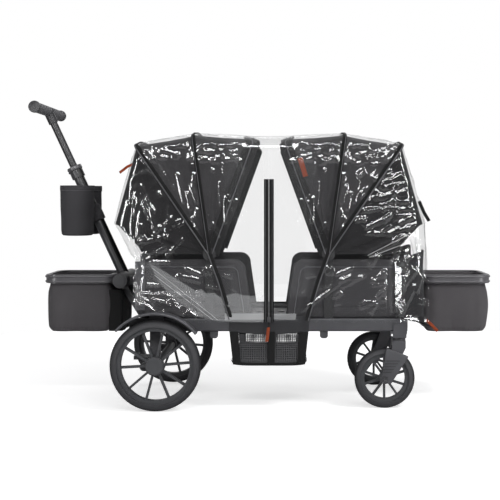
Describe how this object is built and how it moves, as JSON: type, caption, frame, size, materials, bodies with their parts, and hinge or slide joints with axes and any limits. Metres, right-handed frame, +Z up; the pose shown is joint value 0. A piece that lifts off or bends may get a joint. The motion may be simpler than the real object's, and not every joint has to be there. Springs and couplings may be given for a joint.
{
  "type": "stroller wagon",
  "caption": "Folding push wagon for children with facing seats, folding canopies, a clear zipped rain cover, end baskets, swivel casters and a telescoping handle.",
  "frame": {"origin": "on the ground under the middle of the whole wagon's box", "axes": "+X to the front with the swivel casters, +Y to the left side, +Z up"},
  "size_m": [1.586, 0.672, 1.0391],
  "materials": {
    "frame_paint": "satin charcoal powder coat",
    "tube_dark": "satin dark anodised",
    "dark_plastic": "fine moulded grain",
    "trim_plastic": "satin moulded",
    "steel": "plain",
    "canopy_cloth": "tight woven, coated inside",
    "seat_cloth": "padded, piped edges",
    "bag_cloth": "twill",
    "mesh_cloth": "open net with a bound hem",
    "webbing": "flat woven webbing",
    "pull_webbing": "rust webbing",
    "film": "clear flexible film",
    "grip_foam": "foam",
    "tyre": "solid foam tyre",
    "wheel_plastic": "satin moulded"
  },
  "bodies": {
    "chassis": {"rear_side_rails": "frame_paint", "rear_frame_tubes": "frame_paint", "rear_floor_board": "dark_plastic", "rear_axle": "frame_paint", "mudguards": "dark_plastic", "handle_bracket": "trim_plastic", "handle_pivot_pin": "dark_plastic", "fold_hinge_pins": "steel", "rear_canopy_hubs": "dark_plastic", "rear_canopy_back_bow": "dark_plastic", "rear_canopy_tail": "canopy_cloth", "rear_seat_walls": "seat_cloth", "rear_seat_cushion": "seat_cloth", "rear_backrest": "seat_cloth", "rear_harness": "webbing", "rear_cover_roof": "film", "rear_cover_sides": "film", "rear_basket_rim": "trim_plastic", "rear_basket_bag": "bag_cloth", "under_basket": "mesh_cloth"},
    "front_frame": {"front_side_rails": "frame_paint", "front_frame_tubes": "frame_paint", "front_floor_board": "dark_plastic", "caster_heads": "trim_plastic", "front_canopy_hubs": "dark_plastic", "front_canopy_back_bow": "dark_plastic", "front_canopy_tail": "canopy_cloth", "front_seat_walls": "seat_cloth", "front_seat_cushion": "seat_cloth", "front_backrest": "seat_cloth", "front_harness": "webbing", "front_cover_roof": "film", "front_cover_sides": "film", "front_basket_rim": "trim_plastic", "front_basket_bag": "bag_cloth"},
    "handle": {"handle_lower_tube": "frame_paint", "cup_caddy": "bag_cloth"},
    "handle_upper": {"handle_upper_tube": "tube_dark", "handle_crossbar": "dark_plastic", "grip_foam": "grip_foam", "grip_end_caps": "dark_plastic"},
    "lock_button": {"handle_lock_button": "dark_plastic"},
    "rear_wheel_right": {"rear_tyre_right": "tyre", "rear_rim_right": "wheel_plastic"},
    "rear_wheel_left": {"rear_tyre_left": "tyre", "rear_rim_left": "wheel_plastic"},
    "caster_right": {"caster_fork_right": "dark_plastic"},
    "caster_left": {"caster_fork_left": "dark_plastic"},
    "front_wheel_right": {"front_tyre_right": "tyre", "front_rim_right": "wheel_plastic"},
    "front_wheel_left": {"front_tyre_left": "tyre", "front_rim_left": "wheel_plastic"},
    "rear_canopy_middle": {"rear_canopy_mid_bow": "dark_plastic", "rear_canopy_fabric": "canopy_cloth"},
    "rear_canopy_brow": {"rear_canopy_front_bow": "dark_plastic"},
    "front_canopy_middle": {"front_canopy_mid_bow": "dark_plastic", "front_canopy_fabric": "canopy_cloth"},
    "front_canopy_brow": {"front_canopy_front_bow": "dark_plastic"},
    "brake": {"brake_bar": "dark_plastic"},
    "zip_pull": {"zip_slider": "pull_webbing"}
  },
  "joints": [
    {"name": "frame_fold", "type": "hinge", "parent": "chassis", "child": "front_frame", "pos_m": [0.02296, 0, 0.252], "axis": [0, 1, 0], "range_deg": [0, 95], "deforming": ["under_basket"]},
    {"name": "handle_tilt", "type": "hinge", "parent": "chassis", "child": "handle", "pos_m": [-0.49604, 0, 0.423], "axis": [0, 1, 0], "range_deg": [-25, 10]},
    {"name": "handle_extend", "type": "slide", "parent": "handle", "child": "handle_upper", "axis": [-0.4226, 0, 0.9063], "range_m": [-0.165, 0]},
    {"name": "handle_lock_press", "type": "slide", "parent": "handle", "child": "lock_button", "axis": [0.9063, 0, 0.4226], "range_m": [0, 0.003], "stiffness_N_per_m": 400},
    {"name": "rear_wheel_right_spin", "type": "hinge", "parent": "chassis", "child": "rear_wheel_right", "pos_m": [-0.35504, -0.306, 0.1525], "axis": [0, 1, 0], "continuous": true},
    {"name": "rear_wheel_left_spin", "type": "hinge", "parent": "chassis", "child": "rear_wheel_left", "pos_m": [-0.35504, 0.306, 0.1525], "axis": [0, 1, 0], "continuous": true},
    {"name": "caster_right_swivel", "type": "hinge", "parent": "front_frame", "child": "caster_right", "pos_m": [0.46296, -0.24, 0.237], "axis": [0, 0, 1], "continuous": true},
    {"name": "caster_left_swivel", "type": "hinge", "parent": "front_frame", "child": "caster_left", "pos_m": [0.46296, 0.24, 0.237], "axis": [0, 0, 1], "continuous": true},
    {"name": "front_wheel_right_spin", "type": "hinge", "parent": "caster_right", "child": "front_wheel_right", "pos_m": [0.41396, -0.24, 0.102], "axis": [0, 1, 0], "continuous": true},
    {"name": "front_wheel_left_spin", "type": "hinge", "parent": "caster_left", "child": "front_wheel_left", "pos_m": [0.41396, 0.24, 0.102], "axis": [0, 1, 0], "continuous": true},
    {"name": "rear_canopy_fold", "type": "hinge", "parent": "chassis", "child": "rear_canopy_middle", "pos_m": [-0.17704, 0, 0.522], "axis": [0, 1, 0], "range_deg": [-23, 0], "deforming": ["rear_canopy_fabric"]},
    {"name": "rear_canopy_brow_fold", "type": "hinge", "parent": "rear_canopy_middle", "child": "rear_canopy_brow", "pos_m": [-0.17704, 0, 0.522], "axis": [0, 1, 0], "range_deg": [-24, 0]},
    {"name": "front_canopy_fold", "type": "hinge", "parent": "front_frame", "child": "front_canopy_middle", "pos_m": [0.22296, 0, 0.522], "axis": [0, 1, 0], "range_deg": [0, 23], "deforming": ["front_canopy_fabric"]},
    {"name": "front_canopy_brow_fold", "type": "hinge", "parent": "front_canopy_middle", "child": "front_canopy_brow", "pos_m": [0.22296, 0, 0.522], "axis": [0, 1, 0], "range_deg": [0, 24]},
    {"name": "brake_press", "type": "hinge", "parent": "chassis", "child": "brake", "pos_m": [-0.40004, 0, 0.1405], "axis": [0, -1, 0], "range_deg": [0, 20]},
    {"name": "zip_slide", "type": "slide", "parent": "chassis", "child": "zip_pull", "axis": [0, 0, 1], "range_m": [0, 0.43]}
  ],
  "couplings": [
    {"joint": "rear_canopy_brow_fold", "follows": "rear_canopy_fold", "ratio": 1.0435},
    {"joint": "front_canopy_brow_fold", "follows": "front_canopy_fold", "ratio": 1.0435}
  ]
}
